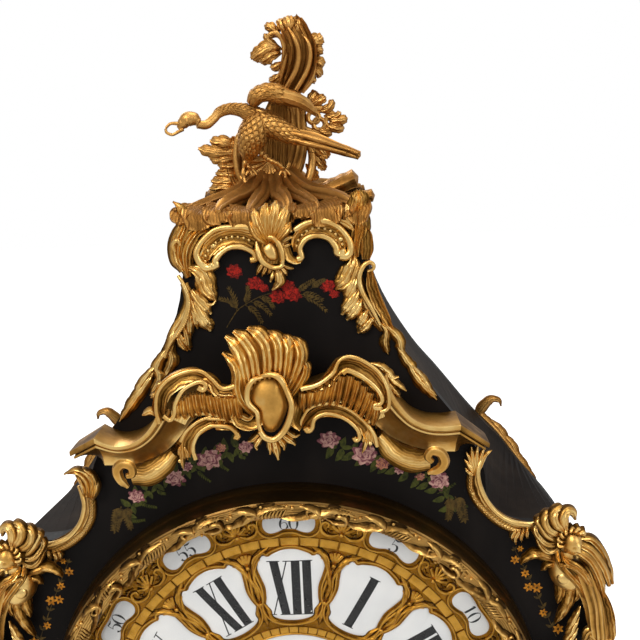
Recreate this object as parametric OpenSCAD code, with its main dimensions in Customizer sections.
// Bracket-shaped cartel clock: lacquered waisted case, gilt scrolled mounts,
// cast dial with enamel plaques, hinged glazed bezel, two-train movement and pendulum.
// The dial centre on the front panel's face is the working point; at_dial() moves it home.

/* [Case] */
// Height of the dial centre above the floor
dial_z = 450; // [440:1:470]
// Depth of the case from the front face to the back face
case_d = 150; // [140:1:165]
// Front face's distance in front of the model's origin
front_y = 57; // [50:1:65]
// Thickness of the front and back boards
board_t = 12; // [10:0.5:14]
// Thickness of the side boards
side_t = 10; // [8:0.5:12]
// Growth of the back outline at the waist beyond the front one
back_grow = 20; // [16:1:24]

/* [Dial and bezel] */
// Radius of the bezel's foot
bezel_r = 150; // [148:0.5:151]
// Radius of the cast dial
dial_r = 137; // [135:0.5:137.5]
// Radius of the ring of hour plaques
hour_ring_r = 84; // [82:0.5:86]
// Radius of the ring of minute plaques
minute_ring_r = 124; // [122:0.5:125]
// Radius of the enamel disc in the middle
centre_disc_r = 51; // [50:0.5:52]
// Hour that the hands show at rest
rest_hour = 8; // [1:1:12]
// Minute that the hands show at rest
rest_minute = 20; // [0:1:59]

/* [Movement] */
// Front face of the movement's front plate, behind the front panel's face
front_plate_y = 22; // [21:0.5:24]
// Thickness of the movement plates
plate_t = 2.5; // [2:0.1:3]
// Distance between the plates
plate_gap = 43.5; // [43.5:0.5:45]
// Radial clearance of every pivot in its hole
pivot_gap = 0.05; // [0.02:0.01:0.08]

/* [Pendulum] */
// Distance from the suspension to the middle of the bob
pendulum_l = 266; // [255:1:275]
// Radius of the bob
bob_r = 30; // [26:1:32]

/* [Hidden] */
$fn = 64;

// Half outline of the front panel as [half width, height over the dial centre], top to bottom
FRONT_HALF = [
  [46, 302], [50, 284], [53, 268], [57, 252], [66, 234], [75, 219], [84, 206], [94, 193],
  [104, 179], [112, 164], [115.5, 150], [116, 139], [118.5, 130.5], [125, 122.5], [137, 118],
  [153, 117], [165, 114], [174, 105], [179, 90], [180, 66], [176, 10], [164, -50],
  [147, -110], [131, -170], [121, -230], [119, -285], [127, -335], [145, -375], [168, -400]
];
// Half outline of the back board above the waist, point for point with the front one
BACK_HALF = concat([
  [49, 302], [52, 284], [54.5, 268], [58, 252], [65, 234], [73, 219], [81, 206], [90, 193],
  [101, 180], [112, 166], [122, 153], [132, 141], [140, 132], [148, 124], [155, 114],
  [161, 106], [168, 97], [177, 86], [187, 73], [194, 57]],
  [for (i = [20 : len(FRONT_HALF) - 1]) FRONT_HALF[i] + [back_grow, 0]]);
case_top = 302;
case_bottom = -400;
inner_back_y = case_d - board_t;
roof_t = 6;
roof_lip = 3;
base_t = 10;

panel_hole_r = dial_r + 1.4;
lenticle_w = -204;
lenticle_hole_r = 33;
lenticle_frame_r = 30;

dial_front_y = 1;
dial_t = 3;
plaque_t = 2.4;
plaque_y = dial_front_y - 0.6;
plaque_gap = 0.15;

bezel_seat_y = -12;
bezel_crest_y = -24;
bezel_inner_r = 139.5;
glass_t = 2;
glass_rise = 9;
bezel_axis = [155, -14];
door_axis = [-90, case_d + 3];
door_half_w = 89;
door_low = -339;
door_high = 164;
door_gap = 1;

back_plate_y = front_plate_y + plate_t + plate_gap;
movement_back_y = back_plate_y + plate_t;
plate_half_w = 60;
plate_low = -70;
plate_high = 72;
PILLARS = [[-54, -63], [54, -63], [-52, 64], [52, 64]];
arbor_r = 2;
pivot_r = 1.2;
end_shake = 0.3;

// Tooth counts and modules of each pair in mesh
barrel_n = 72;
pinion_n = 12;
barrel_m = 0.75;
inter_n = 60;
inter_m = 0.7;
centre_n = 72;
centre_m = 0.6;
third_n = 66;
third_m = 0.5;
fourth_n = 48;
fourth_m = 0.45;
escape_n = 30;
escape_r = 12;
pin_n = 60;
pin_m = 0.6;
cannon_m = 0.8;
minute_n = 36;
hour_n = 48;
hour_m = 0.64;

function reach(teeth, m) = (teeth + pinion_n) * m / 2;
function polar(r, a) = r * [cos(a), sin(a)];

// Arbor places, each found from the one that it meshes with
CENTRE = [0, 0];
inter_bearing = -10;
INTER = CENTRE + polar(reach(inter_n, inter_m), inter_bearing);
barrel_bearing = -82;
GOING = INTER + polar(reach(barrel_n, barrel_m), barrel_bearing);
third_bearing = 123;
THIRD = CENTRE + polar(reach(centre_n, centre_m), third_bearing);
fourth_bearing = 86;
FOURTH = THIRD + polar(reach(third_n, third_m), fourth_bearing);
escape_bearing = acos(-FOURTH[0] / reach(fourth_n, fourth_m));
ESCAPE = FOURTH + polar(reach(fourth_n, fourth_m), escape_bearing);
MINUTE = [0, -(pinion_n + minute_n) * cannon_m / 2];
STRIKE = [-GOING[0], GOING[1]];
PIN = [-INTER[0], INTER[1]];
fly_bearing = 140;
FLY = PIN + polar(reach(pin_n, pin_m), fly_bearing);
ANCHOR = [0, ESCAPE[1] + 17];
HAMMER = [-46, 56];

// Tooth phase of a gear meshed with a driver whose own phase is known
function meshed(driver_phase, driver_n, n, bearing) =
  bearing + 180 - (driver_n * (driver_phase - bearing) + 180) / n;

centre_pinion_phase = 0;
inter_wheel_phase = meshed(centre_pinion_phase, pinion_n, inter_n, inter_bearing);
inter_pinion_phase = 0;
going_phase = meshed(inter_pinion_phase, pinion_n, barrel_n, barrel_bearing);
centre_wheel_phase = 0;
third_pinion_phase = meshed(centre_wheel_phase, centre_n, pinion_n, third_bearing);
third_wheel_phase = 0;
fourth_pinion_phase = meshed(third_wheel_phase, third_n, pinion_n, fourth_bearing);
fourth_wheel_phase = 0;
escape_pinion_phase = meshed(fourth_wheel_phase, fourth_n, pinion_n, escape_bearing);
cannon_phase = 0;
minute_wheel_phase = meshed(cannon_phase, pinion_n, minute_n, -90);
minute_pinion_phase = 0;
hour_wheel_phase = meshed(minute_pinion_phase, pinion_n, hour_n, 90);
strike_phase = 0;
pin_bearing = -barrel_bearing;
pin_pinion_phase = meshed(strike_phase, barrel_n, pinion_n, pin_bearing);
pin_wheel_phase = 0;
fly_pinion_phase = meshed(pin_wheel_phase, pin_n, pinion_n, fly_bearing);

// Levels along the arbors, measured behind the front panel's face
barrel_flange_y = 25.5;
flange_t = 2.5;
drum_r = 23;
drum_back_y = 47;
wheel_t = 1.5;
centre_wheel_y = 30;
third_wheel_y = 35;
fourth_wheel_y = 39.5;
escape_wheel_y = 45;
inter_wheel_y = 50;
pin_wheel_y = 54;
motion_low_y = 17;
motion_high_y = 11;
hour_hand_y = -5;
minute_hand_y = -8.5;
hand_t = 1.3;
pipe_r = 5;
cannon_r = 3;
pendulum_y = 92;

gilt = "goldenrod";
old_gilt = "peru";
lacquer = [0.11, 0.11, 0.11];
enamel = "ivory";
brass = "gold";
steel = "lightsteelblue";

// Curves through hand-picked points
function curve_point(a, b, c, d, t) =
  0.5 * (2 * b + (c - a) * t + (2 * a - 5 * b + 4 * c - d) * t * t + (3 * b - a - 3 * c + d) * t * t * t);
function smooth(p, n) = concat(
  [for (i = [0 : len(p) - 2]) for (k = [0 : n - 1])
    curve_point(p[max(i - 1, 0)], p[i], p[i + 1], p[min(i + 2, len(p) - 1)], k / n)],
  [p[len(p) - 1]]);
function reversed(p) = [for (i = [len(p) - 1 : -1 : 0]) p[i]];
function flipped(p) = [for (q = p) [-q[0], q[1]]];
function closed_outline(half) = concat(half, reversed(flipped(half)));
function arc(r, a0, a1, n) = [for (i = [0 : n]) polar(r, a0 + (a1 - a0) * i / n)];

FRONT = smooth(FRONT_HALF, 2);
BACK = smooth(BACK_HALF, 2);

module at_dial() { translate([0, -front_y, dial_z]) children(); }
// Extrudes a front-view drawing between two depths behind the front panel's face
module along_y(y0, y1) { translate([0, y1, 0]) rotate([90, 0, 0]) linear_extrude(y1 - y0) children(); }
// A round bar along the depth
module bar_y(p, r, y0, y1) { translate([p[0], y1, p[1]]) rotate([90, 0, 0]) cylinder(r = r, h = y1 - y0); }
module spun_y() { rotate([90, 0, 0]) rotate_extrude() children(); }

// A tapering bar swept along a path; each path point is [x, y, z]
module swept(path, radii, sides = 6, flat = 1) {
  n = len(path);
  tangent = [for (i = [0 : n - 1]) let (d = path[min(i + 1, n - 1)] - path[max(i - 1, 0)]) d / norm(d)];
  across = [for (t = tangent) let (s = cross(t, [0, 1, 0])) s / norm(s)];
  points = [for (i = [0 : n - 1]) for (k = [0 : sides - 1])
    path[i] + radii[i] * (across[i] * cos(k * 360 / sides)
      + cross(across[i], tangent[i]) * flat * sin(k * 360 / sides))];
  walls = [for (i = [0 : n - 2]) for (k = [0 : sides - 1]) let (j = (k + 1) % sides)
    [i * sides + k, i * sides + j, (i + 1) * sides + j, (i + 1) * sides + k]];
  caps = [[for (k = [sides - 1 : -1 : 0]) k], [for (k = [0 : sides - 1]) (n - 1) * sides + k]];
  polyhedron(points, concat(walls, caps));
}
// A flat scroll on the panel's face: 2-D points, thick in the middle, thin at its curled ends
module scroll(points, r, proud, ends = 0.45) {
  path = smooth(points, 2);
  n = len(path) - 1;
  swept([for (q = path) [q[0], -proud, q[1]]],
    [for (i = [0 : n]) r * (ends + (1 - ends) * sin(180 * i / n))], 5);
}
// A leaf lobe from its root to its tip, flat behind and crowned in front
module lobe(root, tip, w, d, y0 = 0) {
  hull() {
    bar_lobe(root, w, y0 - d * 0.45, y0, 5);
    bar_lobe(root + (tip - root) * 0.3, w * 0.5, y0 - d, y0 - d * 0.5, 4);
    bar_lobe(tip, w * 0.22, y0 - d * 0.35, y0, 3);
  }
}
module bar_lobe(p, r, y0, y1, sides) {
  translate([p[0], y1, p[1]]) rotate([90, 0, 0]) cylinder(r = r, h = y1 - y0, $fn = sides);
}
// A fan of lobes about a root, with the lobes longest in the middle
module fan(root, length, a0, a1, count, w, d, y0 = 0) {
  for (i = [0 : count - 1]) {
    a = a0 + (a1 - a0) * i / (count - 1);
    l = length * (0.72 + 0.28 * sin(180 * i / (count - 1)));
    lobe(root + polar(l * 0.35, a), root + polar(l, a), w, d, y0);
  }
}
module mirrored(side) { scale([side, 1, 1]) children(); }
// Keeps only what lies in front of the panel's face
module before_panel(y0 = 0) {
  difference() {
    children();
    translate([-300, y0, -500]) cube([600, 100, 1000]);
  }
}

// Gears
function gear_outline(n, m, phase) =
  let (p = 360 / n, rp = n * m / 2, ra = rp + 0.8 * m, rr = rp - 1.1 * m)
  [for (i = [0 : n - 1]) each [
    polar(rr, phase + (i - 0.27) * p), polar(ra, phase + (i - 0.1) * p),
    polar(ra, phase + (i + 0.1) * p), polar(rr, phase + (i + 0.27) * p)]];
module gear(n, m, phase) { polygon(gear_outline(n, m, phase)); }
// Windows between the spokes of a wheel
module crossings(inner, outer, spokes, phase = 0) {
  for (i = [0 : spokes - 1]) {
    a = phase + i * 360 / spokes;
    gap = 180 / spokes;
    polygon(concat(arc(outer, a - gap * 0.8, a + gap * 0.8, 6),
      reversed(arc(inner, a - gap * 0.6, a + gap * 0.6, 3))));
  }
}
module crossed_wheel(p, n, m, phase, y) {
  translate([p[0], 0, p[1]]) along_y(y, y + wheel_t) difference() {
    gear(n, m, phase);
    crossings(5.5, n * m / 2 - 3.2, 4, 45);
  }
}
module pinion(p, m, phase, y0, y1) { translate([p[0], 0, p[1]]) along_y(y0, y1) gear(pinion_n, m, phase); }
// Arbor between the plates with a pivot at each end
module arbor(p, r = arbor_r) {
  bar_y(p, r, front_plate_y + plate_t + end_shake, back_plate_y - end_shake);
  bar_y(p, pivot_r, front_plate_y + end_shake, movement_back_y - end_shake);
}

// Case boards
module front_panel() {
  color(lacquer) at_dial() along_y(0, board_t) difference() {
    polygon(closed_outline(FRONT));
    circle(r = panel_hole_r);
    translate([0, lenticle_w]) circle(r = lenticle_hole_r);
  }
}
// Inner line of a side board, offset square to the outline
function inner_line(p, t) = [for (i = [0 : len(p) - 1])
  let (d = p[min(i + 1, len(p) - 1)] - p[max(i - 1, 0)], u = d / norm(d))
  i == 0 || i == len(p) - 1 ? [p[i][0] - t, p[i][1]] : p[i] + t * [u[1], -u[0]]];
module side_board(side) {
  n = len(FRONT);
  rows = [[board_t, FRONT], [inner_back_y, BACK], [inner_back_y, inner_line(BACK, side_t)],
    [board_t, inner_line(FRONT, side_t)]];
  points = [for (r = rows) for (q = r[1]) [side * q[0], r[0], q[1]]];
  walls = [for (k = [0 : 3]) for (i = [0 : n - 2]) let (a = k * n + i, b = (k + 1) % 4 * n + i)
    each [[a, a + 1, b + 1], [a, b + 1, b]]];
  ends = [[0, n, 2 * n], [0, 2 * n, 3 * n],
    [4 * n - 1, 3 * n - 1, 2 * n - 1], [4 * n - 1, 2 * n - 1, n - 1]];
  faces = concat(walls, ends);
  polyhedron(points, side > 0 ? faces : [for (f = faces) reversed(f)]);
}
module side_panel_left() { color(lacquer) at_dial() side_board(-1); }
module side_panel_right() { color(lacquer) at_dial() side_board(1); }
// Plan outline of the case at one end of the two outlines, with a lip
function plan(i) = let (f = FRONT_HALF[i][0] + roof_lip, b = BACK_HALF[i][0] + roof_lip) [
  [-f, 0], [f, 0], [b, inner_back_y], [b, case_d], [-b, case_d], [-b, inner_back_y]];
module roof_board() {
  color(lacquer) at_dial() translate([0, 0, case_top]) linear_extrude(roof_t) polygon(plan(0));
}
module base_board() {
  color(lacquer) at_dial() translate([0, 0, case_bottom - base_t]) linear_extrude(base_t)
    polygon(plan(len(FRONT_HALF) - 1));
}
module back_frame() {
  color(lacquer) at_dial() along_y(inner_back_y, case_d) difference() {
    polygon(closed_outline(BACK));
    translate([-door_half_w - door_gap, door_low - door_gap])
      square([2 * (door_half_w + door_gap), door_high - door_low + 2 * door_gap]);
  }
}
module seat_board() {
  seat_half_w = 144;
  seat_t = 10;
  seat_back_y = 80;
  color("saddlebrown") at_dial() translate([-seat_half_w, board_t, plate_low - seat_t])
    cube([2 * seat_half_w, seat_back_y - board_t, seat_t]);
}
module rear_door() {
  door_front_y = inner_back_y + 1;
  door_t = board_t - 2;
  knob_x = 74;
  knob_z = -90;
  color(lacquer) at_dial() union() {
    along_y(door_front_y, door_front_y + door_t)
      translate([-door_half_w, door_low]) square([2 * door_half_w, door_high - door_low]);
    bar_y([knob_x, knob_z], 2.5, door_front_y + door_t, case_d + 4);
    bar_y([knob_x, knob_z], 6, case_d + 4, case_d + 8);
  }
}
// Hinges of the rear door: knuckles alternate along one vertical pin
hinge_heights = [-260, 90];
knuckle_r = 2.7;
knuckle_l = 12;
hinge_pin_r = 1.4;
knuckle_gap = 0.3;
module door_hinge_fixed() {
  leaf_w = 16;
  leaf_t = 1.4;
  color(brass) at_dial() for (h = hinge_heights) {
    for (s = [0, 2]) translate([door_axis[0], door_axis[1], h + s * knuckle_l]) difference() {
      union() {
        cylinder(r = knuckle_r, h = knuckle_l);
        translate([-leaf_w, case_d - door_axis[1], 0]) cube([leaf_w - 1, leaf_t, knuckle_l]);
      }
      translate([0, 0, -1]) cylinder(r = hinge_pin_r, h = knuckle_l + 2);
    }
    translate([door_axis[0], door_axis[1], h]) cylinder(r = hinge_pin_r, h = 3 * knuckle_l);
    translate([door_axis[0] - leaf_w - 2, case_d, h]) cube([3, leaf_t, 3 * knuckle_l]);
  }
}
module door_hinge_leaves() {
  leaf_w = 16;
  leaf_t = 1.4;
  door_face = case_d - 1;
  color(brass) at_dial() for (h = hinge_heights)
    translate([door_axis[0], door_axis[1], h + knuckle_l + knuckle_gap]) difference() {
      union() {
        cylinder(r = knuckle_r, h = knuckle_l - 2 * knuckle_gap);
        translate([2, door_face - door_axis[1], 0]) cube([leaf_w, leaf_t, knuckle_l - 2 * knuckle_gap]);
        translate([1, door_face - door_axis[1], 0]) cube([2, 2.4, knuckle_l - 2 * knuckle_gap]);
      }
      translate([0, 0, -1]) cylinder(r = hinge_pin_r + pivot_gap, h = knuckle_l + 2);
    }
}
module door_button() {
  button_x = 96;
  button_z = -20;
  color(brass) at_dial() union() {
    bar_y([button_x, button_z], 3.2, case_d, case_d + 1);
    along_y(case_d + 1, case_d + 3) translate([button_x, button_z]) hull() {
      circle(r = 4, $fn = 12);
      translate([0, 15]) circle(r = 2.6, $fn = 12);
    }
  }
}

// Dial: cast plate pierced for its plaques
hour_half = [[0, 24], [5, 23.4], [11, 21], [14, 19], [17, 20], [20.6, 17.5], [21.2, 13], [19, 6],
  [16.5, -1], [16, -8], [16.4, -14], [13.5, -20], [8, -23], [0, -24]];
minute_half = [[0, 5.8], [7, 6.2], [13, 5.8], [16.6, 3], [17.4, -1], [16, -5.2], [12.4, -7.2],
  [8, -6.4], [4, -4.6], [0, -4.2]];
module hour_shape() { polygon(closed_outline(hour_half)); }
module minute_shape() { polygon(closed_outline(minute_half)); }
module around(r) {
  for (h = [0 : 11]) rotate(-30 * h) translate([0, r]) children();
}
module ring_shape(r0, r1) { difference() { circle(r = r1); circle(r = r0); } }
module dial_plate() {
  feet_places = [[-50, 44], [50, 44], [0, -62]];
  brick_t = 0.8;
  color(gilt) at_dial() union() {
    along_y(dial_front_y, dial_front_y + dial_t) difference() {
      circle(r = dial_r);
      around(hour_ring_r) offset(delta = plaque_gap) hour_shape();
      around(minute_ring_r) offset(delta = plaque_gap) minute_shape();
      circle(r = centre_disc_r + plaque_gap);
    }
    along_y(dial_front_y + dial_t - 1, dial_front_y + dial_t) difference() {
      circle(r = centre_disc_r + 2);
      circle(r = pipe_r + 1);
      for (p = [GOING, STRIKE]) translate(p) circle(r = 3.8);
    }
    along_y(dial_front_y - brick_t, dial_front_y) ring_shape(109.6, 115.2);
    along_y(dial_front_y - brick_t, dial_front_y) ring_shape(centre_disc_r + 0.6, 56);
    for (p = feet_places) bar_y(p, 2.5, dial_front_y + dial_t, front_plate_y);
  }
}
module hour_plaques() {
  color(enamel) at_dial() along_y(plaque_y, plaque_y + plaque_t) around(hour_ring_r) hour_shape();
}
module minute_plaques() {
  color(enamel) at_dial() along_y(plaque_y, plaque_y + plaque_t) around(minute_ring_r) minute_shape();
}
module centre_enamel() {
  color(enamel) at_dial() along_y(dial_front_y - 0.2, dial_front_y + dial_t - 1) difference() {
    circle(r = centre_disc_r - 0.1);
    circle(r = pipe_r + 1);
    for (p = [GOING, STRIKE]) translate(p) circle(r = 3.8);
  }
}

// Bezel: smooth flank, cast foliage on its inner slope, domed glass, one hinge at the right
bezel_knuckle_l = 35;
bezel_pin_r = 1.5;
bezel_knuckle_r = 3.5;
module bezel_ring() {
  color(old_gilt) at_dial() difference() {
    union() {
      spun_y() polygon([[bezel_inner_r, 0.6], [bezel_r, 0.6], [bezel_r, 3], [148.2, 8], [147.4, 14],
        [147, 21], [146, 23.4], [145, -bezel_crest_y], [144, 23.4], [144, -bezel_seat_y],
        [bezel_inner_r, -bezel_seat_y]]);
      translate([bezel_axis[0], bezel_axis[1], -bezel_knuckle_l / 2])
        cylinder(r = bezel_knuckle_r, h = bezel_knuckle_l);
      translate([146, bezel_axis[1] - 2, -bezel_knuckle_l / 2]) cube([7, 4, bezel_knuckle_l]);
      translate([-155, -9, -7]) cube([8, 5, 14]);
    }
    translate([bezel_axis[0], bezel_axis[1], -bezel_knuckle_l / 2 - 1])
      cylinder(r = bezel_pin_r + pivot_gap, h = bezel_knuckle_l + 2);
  }
}
module bezel_hinge_fixed() {
  block_l = 14;
  color(old_gilt) at_dial() {
    for (s = [-1, 1]) translate([0, 0, s * (bezel_knuckle_l + block_l + 0.6) / 2]) difference() {
      union() {
        translate([bezel_axis[0], bezel_axis[1], -block_l / 2]) cylinder(r = bezel_knuckle_r, h = block_l);
        translate([bezel_axis[0] - 3, bezel_axis[1], -block_l / 2]) cube([6.5, -bezel_axis[1], block_l]);
      }
      translate([bezel_axis[0], bezel_axis[1], -block_l]) cylinder(r = bezel_pin_r, h = 2 * block_l);
    }
    translate([bezel_axis[0], bezel_axis[1], -bezel_knuckle_l / 2 - block_l])
      cylinder(r = bezel_pin_r, h = bezel_knuckle_l + 2 * block_l);
  }
}
module bezel_foliage() {
  lobes = 20;
  color(gilt) at_dial() union() {
    rotate([90, 0, 0]) rotate_extrude($fn = 48)
      polygon([[136.6, -bezel_seat_y], [143.6, -bezel_seat_y], [143.6, 23], [139, 17.5]]);
    for (i = [0 : lobes - 1]) rotate([0, i * 360 / lobes, 0]) hull() {
      translate([0, -13.5, 138]) rotate([90, 0, 0]) cylinder(r = 3.4, h = 2.6, $fn = 5);
      translate([7, -21, 141.2]) rotate([90, 0, 0]) cylinder(r = 1.8, h = 2.6, $fn = 4);
    }
  }
}
module bezel_glass() {
  rim_y = 9.6;
  color("aliceblue", 0.3) at_dial() spun_y() polygon(concat(
    [[0, rim_y + glass_rise - 0.4]],
    [for (i = [1 : 8]) let (r = 136 * i / 8) [r, rim_y + (glass_rise - 0.4) * (1 - pow(i / 8, 2))]],
    [[bezel_inner_r - 0.3, rim_y], [bezel_inner_r - 0.3, -bezel_seat_y], [136.4, -bezel_seat_y]],
    [for (i = [8 : -1 : 0]) let (r = 136 * i / 8) [r, rim_y + glass_t + glass_rise * (1 - pow(i / 8, 2))]]));
}

// Hands, cut from flat brass and pierced
function clock_angle(turns) = 90 - 360 * turns;
minute_angle = clock_angle(rest_minute / 60);
hour_angle = clock_angle((rest_hour + rest_minute / 60) / 12);
module hand_shape(l, w) {
  difference() {
    union() {
      circle(r = 9, $fn = 24);
      polygon(closed_outline([[0.5, l], [w * 0.2, l * 0.8], [w * 0.55, l * 0.72], [w * 0.62, l * 0.66],
        [w * 0.3, l * 0.56], [w * 0.7, l * 0.5], [w * 1.15, l * 0.38], [w, l * 0.3], [w * 0.45, l * 0.2],
        [w * 0.4, 0], [w * 0.35, -l * 0.14], [w * 0.6, -l * 0.2], [0.6, -l * 0.27]]));
    }
    polygon(closed_outline([[0.6, l * 0.5], [w * 0.7, l * 0.39], [w * 0.55, l * 0.33], [0.6, l * 0.27]]));
  }
}
module minute_hand() {
  color("darkslategray") at_dial() along_y(minute_hand_y - hand_t / 2, minute_hand_y + hand_t / 2)
    rotate(minute_angle - 90) difference() { hand_shape(112, 9); circle(r = arbor_r + 0.02); }
}
module hour_hand() {
  color("darkslategray") at_dial() along_y(hour_hand_y - hand_t / 2, hour_hand_y + hand_t / 2)
    rotate(hour_angle - 90) difference() { hand_shape(76, 11); circle(r = pipe_r - 0.98); }
}

// Movement plates and posts
module plate_shape() {
  polygon([[-plate_half_w, plate_low], [plate_half_w, plate_low], [plate_half_w, plate_high - 14],
    [plate_half_w - 14, plate_high], [-plate_half_w + 14, plate_high], [-plate_half_w, plate_high - 14]]);
}
PIVOTS = [GOING, STRIKE];
SMALL_PIVOTS = [INTER, THIRD, FOURTH, ESCAPE, PIN, FLY, HAMMER, ANCHOR];
winding_r = 2.8;
module plate_holes() {
  for (p = PIVOTS) translate(p) circle(r = winding_r + pivot_gap);
  for (p = SMALL_PIVOTS) translate(p) circle(r = pivot_r + pivot_gap);
  circle(r = arbor_r + pivot_gap);
}
module front_plate() {
  stud_tip_y = 8;
  color(brass) at_dial() union() {
    along_y(front_plate_y, front_plate_y + plate_t) difference() { plate_shape(); plate_holes(); }
    bar_y(MINUTE, 1.5, stud_tip_y, front_plate_y);
  }
}
module back_plate() {
  color(brass) at_dial() along_y(back_plate_y, movement_back_y) difference() {
    plate_shape();
    plate_holes();
  }
}
module plate_pillars() {
  color(brass) at_dial() for (p = PILLARS) bar_y(p, 3.5, front_plate_y + plate_t, back_plate_y);
}
// Suspension cock with its spring, and the strap that carries the bell
bell_r = 34;
bell_mouth_z = 84;
bell_h = 22;
bell_y = 47;
bell_t = 2;
module back_brackets() {
  cock_y = pendulum_y + 5;
  strap_z = bell_mouth_z + bell_h + 6;
  color(brass) at_dial() {
    union() {
      translate([-12, movement_back_y, ANCHOR[1] + 12]) cube([24, 2.5, 12]);
      translate([-5, movement_back_y + 2.5, ANCHOR[1] + 16]) cube([10, cock_y - movement_back_y - 2.5, 4]);
      translate([-5, pendulum_y - 3, ANCHOR[1] + 9]) cube([10, 6, 7]);
      translate([-2.5, pendulum_y - 0.2, ANCHOR[1] + 1.5]) cube([5, 0.4, 8]);
    }
    union() {
      translate([26, movement_back_y, 50]) cube([12, 3, strap_z - 50]);
      translate([-6, movement_back_y - 30, strap_z]) cube([44, 33, 3]);
      translate([0, bell_y, bell_mouth_z + bell_h]) cylinder(r = 3, h = strap_z - bell_mouth_z - bell_h + 1);
      translate([0, bell_y, bell_mouth_z + bell_h - 12]) cylinder(r = 2, h = 13);
      translate([0, bell_y, bell_mouth_z + bell_h - bell_t - 4]) cylinder(r = 4.5, h = 4);
    }
  }
}
module bell() {
  color("goldenrod") at_dial() translate([0, bell_y, bell_mouth_z]) rotate_extrude() polygon([
    [bell_r - bell_t, 0], [bell_r, 0], [bell_r - 2.5, 8], [bell_r - 6, 15], [bell_r - 13, 20],
    [bell_r - 22, bell_h], [2.1, bell_h], [2.1, bell_h - bell_t], [bell_r - 22.4, bell_h - bell_t],
    [bell_r - 14, 18], [bell_r - 7.8, 13.6], [bell_r - 4.4, 7.4]]);
}

// Trains
module barrel(p, phase) {
  difference() {
    union() {
      translate([p[0], 0, p[1]]) along_y(barrel_flange_y, barrel_flange_y + flange_t)
        gear(barrel_n, barrel_m, phase);
      bar_y(p, drum_r, barrel_flange_y + flange_t, drum_back_y);
    }
    bar_y(p, winding_r + pivot_gap, barrel_flange_y - 1, drum_back_y + 1);
  }
}
module winding_arbor(p) {
  square_front_y = -1.5;
  square_side = 3.8;
  union() {
    bar_y(p, winding_r, 12, movement_back_y + 1);
    translate([p[0] - square_side / 2, square_front_y, p[1] - square_side / 2])
      cube([square_side, 12 - square_front_y, square_side]);
    bar_y(p, 4.5, drum_back_y + 0.4, drum_back_y + 2);
    translate([p[0], 0, p[1]]) along_y(60, 62) gear(24, 0.7, 0);
  }
}
module going_barrel() { color(brass) at_dial() barrel(GOING, going_phase); }
module strike_barrel() { color(brass) at_dial() barrel(STRIKE, strike_phase); }
module going_winding_arbor() { color(steel) at_dial() winding_arbor(GOING); }
module strike_winding_arbor() { color(steel) at_dial() winding_arbor(STRIKE); }
module intermediate_wheel() {
  color(brass) at_dial() union() {
    arbor(INTER);
    crossed_wheel(INTER, inter_n, inter_m, inter_wheel_phase, inter_wheel_y);
    pinion(INTER, barrel_m, inter_pinion_phase, 25, 29.5);
  }
}
module centre_arbor() {
  tip_y = -12;
  color(steel) at_dial() union() {
    bar_y(CENTRE, arbor_r, tip_y, movement_back_y - end_shake);
    pinion(CENTRE, inter_m, centre_pinion_phase, 48.5, 53.5);
    crossed_wheel(CENTRE, centre_n, centre_m, centre_wheel_phase, centre_wheel_y);
    bar_y(CENTRE, cannon_r, minute_hand_y + hand_t / 2, front_plate_y - end_shake);
    pinion(CENTRE, cannon_m, cannon_phase, motion_low_y - 0.5, motion_low_y + 4.5);
  }
}
module minute_wheel() {
  color(brass) at_dial() difference() {
    union() {
      translate([MINUTE[0], 0, MINUTE[1]]) along_y(motion_low_y + 1, motion_low_y + 2.5)
        gear(minute_n, cannon_m, minute_wheel_phase);
      pinion(MINUTE, hour_m, minute_pinion_phase, motion_high_y - 1.5, motion_low_y + 1);
    }
    bar_y(MINUTE, 1.5 + pivot_gap, 0, front_plate_y + 1);
  }
}
module hour_wheel() {
  color(brass) at_dial() difference() {
    union() {
      along_y(motion_high_y, motion_high_y + wheel_t) gear(hour_n, hour_m, hour_wheel_phase);
      bar_y(CENTRE, pipe_r, hour_hand_y + hand_t / 2, motion_high_y + wheel_t);
      bar_y(CENTRE, pipe_r - 1, hour_hand_y - hand_t / 2, hour_hand_y + hand_t / 2);
    }
    bar_y(CENTRE, cannon_r + pivot_gap, -20, 20);
  }
}
module third_wheel() {
  color(brass) at_dial() union() {
    arbor(THIRD);
    pinion(THIRD, centre_m, third_pinion_phase, 29, 33);
    crossed_wheel(THIRD, third_n, third_m, third_wheel_phase, third_wheel_y);
  }
}
module fourth_wheel() {
  color(brass) at_dial() union() {
    arbor(FOURTH, 1.1);
    pinion(FOURTH, third_m, fourth_pinion_phase, 33.8, 38);
    crossed_wheel(FOURTH, fourth_n, fourth_m, fourth_wheel_phase, fourth_wheel_y);
  }
}
module escape_wheel() {
  tooth = 360 / escape_n;
  color(brass) at_dial() union() {
    arbor(ESCAPE, 1.5);
    pinion(ESCAPE, fourth_m, escape_pinion_phase, 38.4, 42.5);
    translate([ESCAPE[0], 0, ESCAPE[1]]) along_y(escape_wheel_y, escape_wheel_y + 1.2) difference() {
      polygon([for (i = [0 : escape_n - 1]) each [
        polar(escape_r - 2.4, (i - 0.25) * tooth), polar(escape_r, i * tooth),
        polar(escape_r, (i + 0.06) * tooth), polar(escape_r - 2.4, (i + 0.2) * tooth)]]);
      crossings(4, escape_r - 4, 4, 45);
    }
  }
}
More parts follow.
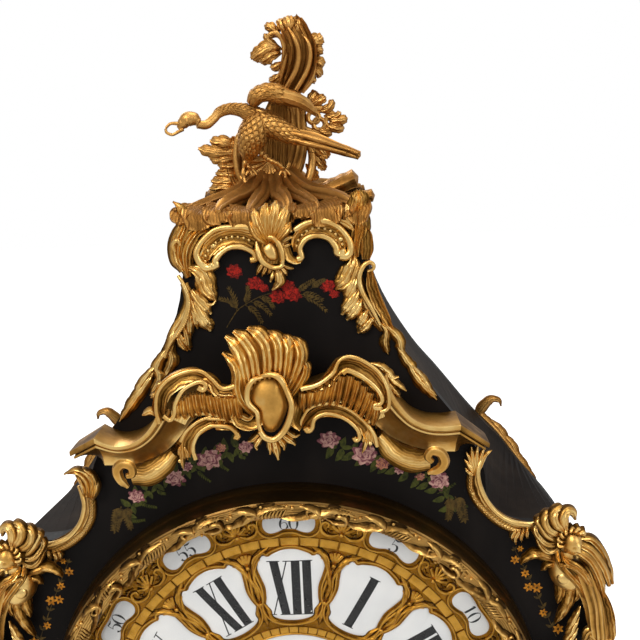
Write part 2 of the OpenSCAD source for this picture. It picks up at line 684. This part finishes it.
module pallet_anchor() {
  pallet = polar(escape_r + 1.6, 45);
  crutch_y = movement_back_y + 5;
  fork_z = 14;
  color(steel) at_dial() union() {
    bar_y(ANCHOR, 1.5, front_plate_y + plate_t + end_shake, back_plate_y - end_shake);
    bar_y(ANCHOR, pivot_r, front_plate_y + end_shake, crutch_y + 2);
    along_y(escape_wheel_y - 1, escape_wheel_y + 2.2) for (s = [-1, 1]) polygon([
      [0, ANCHOR[1] + 3], [s * (pallet[0] + 2.5), ESCAPE[1] + pallet[1] + 3],
      [s * (pallet[0] + 2.2), ESCAPE[1] + pallet[1] - 0.5], [s * pallet[0], ESCAPE[1] + pallet[1]],
      [s * (pallet[0] - 0.5), ESCAPE[1] + pallet[1] + 2.2], [0, ANCHOR[1] - 2.6]]);
    translate([-1, crutch_y, fork_z]) cube([2, 2, ANCHOR[1] - fork_z + 2]);
    translate([-4.6, crutch_y, fork_z - 2]) cube([9.2, 2, 4]);
    for (s = [-1, 1]) translate([s * 3.6 - 1, crutch_y, fork_z - 2]) cube([2, pendulum_y + 4 - crutch_y, 4]);
  }
}
module pendulum_rod() {
  rod_r = 1.5;
  rod_top = ANCHOR[1] - 1;
  bob_z = ANCHOR[1] - pendulum_l;
  color(steel) at_dial() {
    union() {
      translate([0, pendulum_y, bob_z - bob_r - 14]) cylinder(r = rod_r, h = rod_top - bob_z + bob_r + 14);
      translate([-4, pendulum_y - 1, rod_top - 5]) cube([8, 2, 5]);
      translate([0, pendulum_y, bob_z - bob_r - 6]) cylinder(r = 5, h = 5);
    }
  }
}
module pendulum_bob() {
  bob_z = ANCHOR[1] - pendulum_l;
  half_t = 5;
  color(brass) at_dial() translate([0, pendulum_y, bob_z]) difference() {
    spun_y() polygon([[0, -half_t], [bob_r * 0.4, -half_t + 0.6],
      [bob_r * 0.75, -half_t + 2.2], [bob_r, -0.8],
      [bob_r, 0.8], [bob_r * 0.75, half_t - 2.2], [bob_r * 0.4, half_t - 0.6], [0, half_t]]);
    translate([0, 0, -bob_r - 1]) cylinder(r = 1.5 + pivot_gap, h = 2 * bob_r + 2);
  }
}
module pin_wheel() {
  pins = 10;
  color(brass) at_dial() union() {
    arbor(PIN);
    pinion(PIN, barrel_m, pin_pinion_phase, 25, 29.5);
    crossed_wheel(PIN, pin_n, pin_m, pin_wheel_phase, pin_wheel_y);
    for (i = [0 : pins - 1])
      bar_y(PIN + polar(16.2, i * 360 / pins), 0.6, pin_wheel_y + wheel_t, pin_wheel_y + 5);
  }
}
module fly() {
  color(brass) at_dial() union() {
    arbor(FLY, 1.5);
    pinion(FLY, pin_m, fly_pinion_phase, 52.5, 57);
    translate([FLY[0] - 10, 31, FLY[1] - 0.5]) cube([20, 16, 1]);
  }
}
module hammer() {
  head = [-40, 88];
  color(steel) at_dial() union() {
    arbor(HAMMER, 1.8);
    along_y(bell_y - 1.2, bell_y + 1.2) polygon([
      HAMMER + [-2.4, 0], HAMMER + [2.4, 0], head + [1.2, 0], head + [-1.2, 0]]);
    translate([head[0] - 4.4, bell_y, head[1]]) rotate([0, 90, 0]) cylinder(r = 3.4, h = 9.2);
  }
}

// Finial: scrolled pedestal with a tall shell leaf, and a wading bird across it
finial_y = 66;
finial_x = -4;
module finial_pedestal() {
  base_z = case_top + roof_t;
  color(old_gilt) at_dial() translate([finial_x, 0, 0]) intersection() {
    translate([0, finial_y, 0]) union() {
      translate([0, 10, base_z]) cylinder(r = 26, h = 5, $fn = 24);
      swept([for (q = smooth([[-34, 316], [-22, 312], [-10, 320], [-2, 334], [6, 350],
        [10, 366], [12, 380]], 2)) [q[0], 4, q[1]]],
        [for (i = [0 : 12]) 8 - 0.33 * i]);
      swept([for (q = smooth([[44, 314], [30, 312], [22, 322], [20, 336],
        [24, 352], [20, 372]], 2)) [q[0], 6, q[1]]],
        [for (i = [0 : 10]) 7 - 0.3 * i]);
      fan([12, 372], 44, 45, 130, 5, 6.5, 12, 8);
      lobe([-8, 393], [-27, 386], 5.5, 10, 6);
      lobe([28, 396], [42, 398], 5.5, 8, 8);
      lobe([28, 384], [41, 380], 5.5, 8, 8);
      lobe([10, 400], [18, 417], 8, 12, 8);
      fan([-6, 340], 40, 165, 215, 4, 6.5, 8, 8);
      fan([24, 350], 34, 15, 75, 4, 6, 8, 10);
      lobe([6, 332], [2, 312], 16, 16, 6);
      lobe([24, 316], [58, 324], 6, 10, 10);
      lobe([24, 310], [64, 309], 5, 10, 10);
      lobe([-12, 318], [-42, 310], 9, 12, 10);
    }
    translate([-100, finial_y - 60, base_z]) cube([200, 120, 160]);
  }
}
module finial_bird() {
  bird_y = finial_y - 14;
  color(old_gilt) at_dial() translate([finial_x, bird_y, 0]) union() {
    swept([for (q = smooth([[-56, 356], [-50, 358], [-44, 362], [-38, 358], [-30, 357],
      [-22, 364], [-12, 366], [0, 362], [8, 356]], 2))
      [q[0], -2, q[1]]], [for (i = [0 : 16]) 2.5 + 7 * pow(max(0, i - 5) / 11, 1.6)]);
    lobe([4, 352], [-6, 330], 11, 12, 4);
    lobe([2, 362], [50, 368], 7, 12, 8);
    lobe([-6, 374], [34, 368], 7, 10, 4);
    lobe([6, 360], [58, 337], 8, 12, 8);
    lobe([20, 352], [57, 336], 5, 9, 6);
    lobe([-2, 340], [10, 322], 8, 6, 4);
    lobe([-8, 350], [-14, 338], 5, 10, 6);
    lobe([-51, 356], [-60, 352], 3.4, 6, 2);
    lobe([-44, 362], [-40, 358], 4, 6, 2);
  }
}

// Crest: oval shell boss with beaded scrolls to each side
module crest_mount() {
  crest_x = 2;
  color(gilt) at_dial() before_panel() {
    fan([crest_x, 288], 28, 35, 145, 7, 5.5, 18);
    lobe([crest_x, 286], [crest_x - 1, 266], 9, 18);
    lobe([crest_x, 292], [crest_x, 276], 7, 22);
    fan([crest_x, 284], 19, 215, 325, 5, 4, 12);
    for (s = [-1, 1]) {
      scroll([[crest_x + s * 10, 297], [s * 20 + 3, 306], [s * 32, 304], [s * 38.5, 296],
        [s * 40, 284], [s * 38, 274], [s * 32, 276]], 3.6, 6);
      scroll([[crest_x + s * 11, 290], [s * 20 + 3, 298], [s * 30, 297],
        [s * 35, 288], [s * 34, 281]], 2.6, 4);
      lobe([s * 38, 275], [s * 30, 268], 4, 8);
    }
  }
}
// Acanthus that flows down each upper corner
module corner_mount(side) {
  color(gilt) at_dial() before_panel() mirrored(side) {
    scroll([[49, 317], [46, 302], [50, 284], [58, 262], [71, 235], [84, 211], [90, 201]], 5, 4, 0.3);
    lobe([48, 300], [49, 318], 5, 12);
    lobe([50, 297], [43.5, 308], 4, 9);
    lobe([50, 290], [56, 304], 4.5, 12);
    lobe([52, 284], [46.5, 276], 5, 10);
    lobe([54, 274], [38, 266], 5, 10);
    lobe([56, 266], [42, 254], 5, 10);
    lobe([58, 258], [49, 243], 4.5, 9);
    lobe([60, 264], [64, 250], 5, 11);
    lobe([66, 246], [60, 230], 4, 8);
    lobe([70, 238], [80, 224], 4.5, 9);
    lobe([78, 224], [78, 212], 4, 7);
    lobe([84, 214], [92, 198], 5, 8);
  }
}
// Cornice: arched moulding in two halves that meet under a fluted shell
cornice_depth = 30;
module cornice(side) {
  plate_front = -16;
  seat_front = -40;
  lower = [[24, 189], [28, 200], [38, 207], [50, 206], [60, 197],
    [66, 186], [74, 178], [86, 172], [100, 171]];
  upper = [[14, 200], [22, 212], [32, 222], [42, 229], [54, 227],
    [64, 218], [72, 206], [82, 197], [100, 193]];
  outer = concat(smooth(upper, 2), reversed(smooth(lower, 2)));
  color(gilt) at_dial() before_panel() mirrored(side) difference() {
    union() {
      along_y(plate_front, 0) polygon(outer);
      along_y(-cornice_depth, plate_front) polygon([[78, 178], [100, 171], [100, 193], [84, 196]]);
      hull() {
        along_y(-cornice_depth, -4) polygon([[99, 171], [100, 171], [100, 193], [99, 193]]);
        translate([117, -18, 172]) cube([1, 17, 9]);
      }
      swept([for (q = smooth(upper, 2)) [q[0], -18 - 10 * pow(max(0, q[0] - 20) / 80, 2), q[1] - 2]],
        [for (i = [0 : 16]) 4.6], 5);
      swept([for (q = smooth(lower, 2)) [q[0], -17, q[1] + 2]], [for (i = [0 : 16]) 3.2], 5);
      scroll([[30, 214], [36, 226], [48, 230], [60, 222], [68, 208], [66, 198], [60, 200]], 4, 24);
      scroll([[26, 190], [28, 198], [36, 204], [48, 203], [57, 194], [56, 186], [51, 186]], 3, 16);
      lobe([72, 203], [86, 199], 4, 14);
      lobe([76, 186], [96, 166], 9, 26);
      lobe([70, 190], [84, 168], 8, 22);
      lobe([94, 172], [88, 164], 6, 28);
      lobe([66, 192], [72, 170], 5, 18);
      lobe([96, 176], [101, 168], 5, 30);
      lobe([22, 204], [30, 196], 7, 18);
    }
    // Seat of the shell, which covers the inner end
    along_y(seat_front, plate_front) polygon([[0, 180], [20, 186], [33, 200], [33, 226], [0, 240]]);
  }
}
module cornice_left() { cornice(-1); }
module cornice_right() { cornice(1); }
module cornice_shell() {
  front = -16.2;
  color(gilt) at_dial() translate([-3, 0, 0]) {
    fan([1, 205], 44, 30, 155, 8, 7.5, 18, front);
    lobe([1, 214], [0, 178], 14, 24, front);
    lobe([-8, 218], [6, 200], 11, 24, front);
    lobe([8, 218], [-2, 196], 11, 24, front);
    lobe([-4, 188], [-18, 178], 5, 12, front);
    lobe([6, 188], [16, 180], 5, 12, front);
    lobe([0, 184], [-6, 170], 4.5, 10, front);
    lobe([0, 184], [6, 170], 4.5, 10, front);
    along_y(front, 0) polygon([[-6, 192], [9, 192], [10, 210], [-6, 210]]);
  }
}
module corner_mount_left() { corner_mount(-1); }
module corner_mount_right() { corner_mount(1); }
// Ribbed C-scroll round the hollow of each shoulder, with a shell leaf at its top
module shoulder_mount(side) {
  color(gilt) at_dial() before_panel() mirrored(side) {
    scroll([[106, 165], [111, 156], [110, 147], [111, 136], [115, 126], [125, 117],
      [139, 112], [152, 112], [158, 118]],
      6.5, 5, 0.5);
    fan([110, 149], 19, 60, 210, 6, 5, 12);
    lobe([110, 153], [118, 166], 5, 14);
    lobe([112, 149], [121, 154], 4, 12);
    lobe([108, 140], [105, 130], 5, 10);
    lobe([114, 128], [108, 118], 4.5, 10);
    lobe([122, 120], [118, 110], 5, 12);
    lobe([132, 116], [133, 102], 6, 14);
    lobe([144, 114], [142, 102], 5, 12);
    lobe([153, 112], [162, 116], 5, 12);
  }
}
module shoulder_mount_left() { shoulder_mount(-1); }
module shoulder_mount_right() { shoulder_mount(1); }
// Female bust with a plumed headdress and a cape, rising from leaves at each shoulder
module bust(side) {
  color(gilt) at_dial() mirrored(side) {
    translate([161, -16, 117]) scale([0.82, 0.95, 1.15]) sphere(r = 7.5, $fn = 14);
    translate([162, -14, 100]) cylinder(r1 = 6, r2 = 3.4, h = 12, $fn = 10);
    fan([158, 119], 16, 75, 165, 5, 4.2, 9, -10);
    hull() {
      translate([155, -13, 99]) sphere(r = 5, $fn = 8);
      translate([171, -13, 99]) sphere(r = 5, $fn = 8);
      translate([166, -12, 80]) sphere(r = 7, $fn = 8);
    }
    lobe([160, 96], [158, 87], 4.6, 11, -9);
    lobe([168, 96], [170, 87], 4.6, 11, -9);
    lobe([172, 106], [183, 84], 6, 12, -2);
    hull() {
      translate([166, -11, 84]) sphere(r = 7, $fn = 8);
      translate([170, -6.2, 62]) sphere(r = 6, $fn = 8);
    }
    lobe([160, 84], [153, 62], 6, 13);
    lobe([176, 84], [184, 62], 6, 13);
    lobe([168, 78], [170, 46], 9, 15);
    lobe([146, 86], [137, 104], 5, 12);
    lobe([158, 78], [145, 88], 5, 12);
  }
}
module bust_left() { bust(-1); }
module bust_right() { bust(1); }
// Leaf band along the upper back corners, with a curled tip
module rear_corner_mounts() {
  y = case_d + 0.02;
  color(old_gilt) at_dial() for (s = [-1, 1]) mirrored(s) translate([0, y, 0]) union() {
    for (q = [[134, 138, 143, 127], [142, 129, 151, 116], [150, 118, 160, 104], [158, 107, 168, 92],
      [166, 96, 176, 82], [140, 128, 149, 138]])
      hull() {
        bar_lobe([q[0], q[1]], 5, 0, 5, 6);
        bar_lobe([q[2], q[3]], 3, 0, 4, 5);
      }
  }
}
// Waist chutes, apron shell and rosettes on the lower half
module lower_mounts() {
  color(gilt) at_dial() {
    for (s = [-1, 1]) mirrored(s) before_panel() {
      scroll([[156, -50], [140, -110], [124, -170], [113, -225], [110, -270]], 4.5, 4, 0.3);
      for (i = [0 : 3]) {
        z = -62 - 48 * i;
        x = 154 - 17 * i + 1.6 * i * i;
        lobe([x + 2, z], [x - 8, z - 20], 5.5, 13);
      }
    }
    before_panel() union() {
      fan([0, -352], 34, 205, 335, 5, 8, 16);
      fan([0, -352], 26, 50, 130, 3, 7, 14);
      for (s = [-1, 1]) mirrored(s)
        scroll([[12, -346], [34, -338], [58, -350], [84, -368],
          [108, -374], [122, -364], [112, -356]], 5, 5);
      lobe([0, -346], [0, -372], 11, 20);
    }
  }
}
module lenticle_frame() {
  color(gilt) at_dial() translate([0, 0, lenticle_w]) difference() {
    union() {
      rotate([90, 0, 0]) cylinder(r = 41, h = 8, $fn = 36);
      for (i = [0 : 7]) lobe(polar(39, 45 * i + 16), polar(51, 45 * i + 24), 8, 12);
      fan([0, 34], 17, 58, 122, 3, 7, 13);
      fan([0, -40], 26, 238, 302, 3, 7, 13);
    }
    rotate([90, 0, 0]) translate([0, 0, -1]) cylinder(r = lenticle_frame_r, h = 30, $fn = 36);
  }
}
module lenticle_glass() {
  color("aliceblue", 0.3) at_dial() translate([0, 0, lenticle_w])
    along_y(0, glass_t) circle(r = lenticle_hole_r - 0.3);
}
// Scrolled feet under the four corners
module foot(x, y, side, turn) {
  floor_z = -dial_z;
  top_z = case_bottom - base_t;
  sole_h = 5;
  translate([x, y, 0]) {
    translate([0, 0, top_z - 8]) cylinder(r1 = 11, r2 = 15, h = 8);
    hull() {
      translate([0, 0, top_z - 9]) cylinder(r = 10, h = 1, $fn = 12);
      translate([side * 8, -turn * 6, floor_z]) cylinder(r = 12, h = sole_h, $fn = 12);
    }
    translate([side * 14, -turn * 9, floor_z]) cylinder(r1 = 7, r2 = 9, h = 16);
  }
}
module feet() {
  color(gilt) at_dial() for (s = [-1, 1]) {
    foot(s * 150, 18, s, 1);
    foot(s * 166, case_d - 22, s, -0.3);
  }
}

front_panel();
side_panel_left();
side_panel_right();
roof_board();
base_board();
back_frame();
seat_board();
finial_pedestal();
finial_bird();
crest_mount();
corner_mount_left();
corner_mount_right();
cornice_left();
cornice_right();
cornice_shell();
shoulder_mount_left();
shoulder_mount_right();
bust_left();
bust_right();
rear_corner_mounts();
lower_mounts();
lenticle_frame();
lenticle_glass();
feet();
dial_plate();
hour_plaques();
minute_plaques();
centre_enamel();
front_plate();
back_plate();
plate_pillars();
back_brackets();
bell();
bezel_hinge_fixed();
door_hinge_fixed();
bezel_ring();
bezel_foliage();
bezel_glass();
rear_door();
door_hinge_leaves();
door_button();
going_barrel();
going_winding_arbor();
intermediate_wheel();
centre_arbor();
minute_hand();
minute_wheel();
hour_wheel();
hour_hand();
third_wheel();
fourth_wheel();
escape_wheel();
pallet_anchor();
pendulum_rod();
pendulum_bob();
strike_barrel();
strike_winding_arbor();
pin_wheel();
fly();
hammer();
